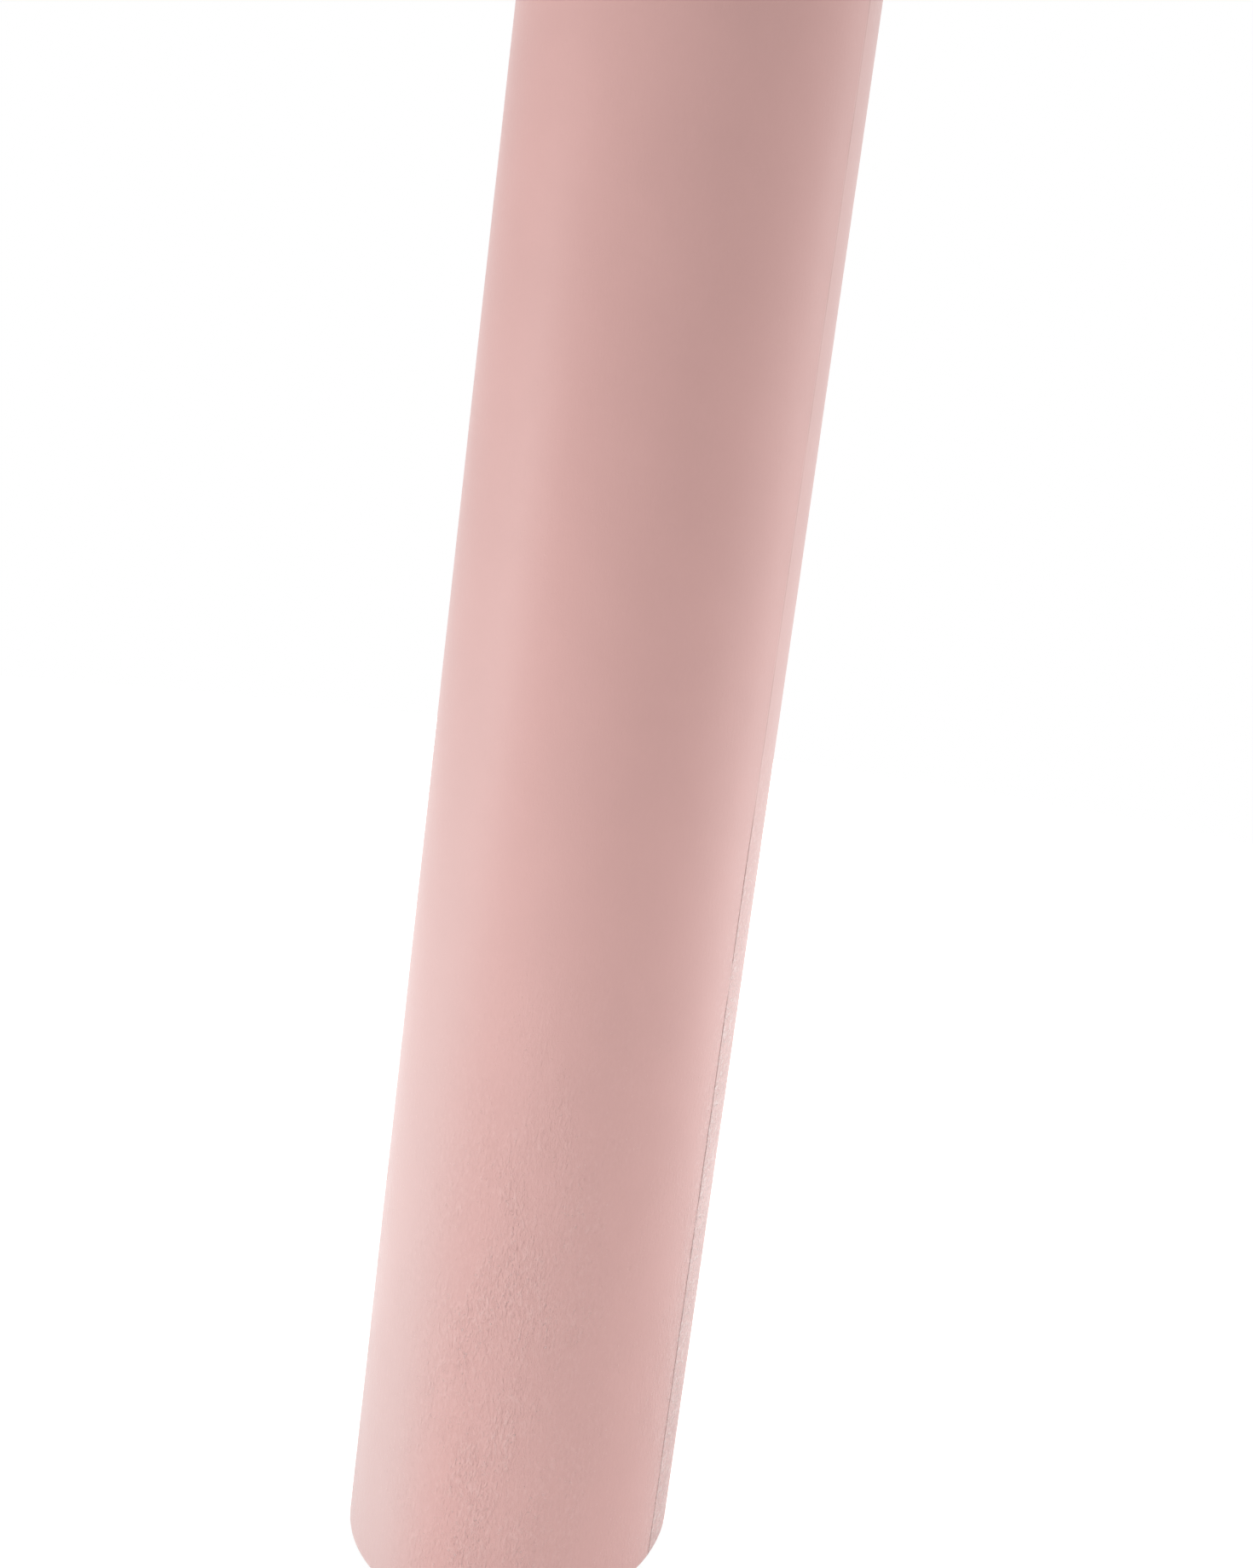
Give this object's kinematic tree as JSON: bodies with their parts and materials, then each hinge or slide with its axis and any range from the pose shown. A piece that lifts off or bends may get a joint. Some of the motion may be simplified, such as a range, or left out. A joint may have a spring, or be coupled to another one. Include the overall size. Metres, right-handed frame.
{
  "type": "foam roller",
  "caption": "Long smooth foam roller: a pink foam sleeve with one straight seam on a rigid hollow core tube, with a recessed cap in each end.",
  "frame": {"origin": "centre of the lower end face, on the plane that the roller stands on", "axes": "+Z along the roller's axis, from the lower end to the upper; the seam lies 26 degrees from +X towards -Y"},
  "size_m": [0.15, 0.15, 0.9],
  "materials": {
    "foam": "matte closed-cell foam skin, dusty pink",
    "core": "extruded plastic, charcoal",
    "cap": "moulded plastic, fine matte texture, charcoal"
  },
  "bodies": {
    "root": {"foam_sleeve": "foam", "core_tube": "core", "lower_end_cap": "cap", "upper_end_cap": "cap"}
  },
  "joints": []
}
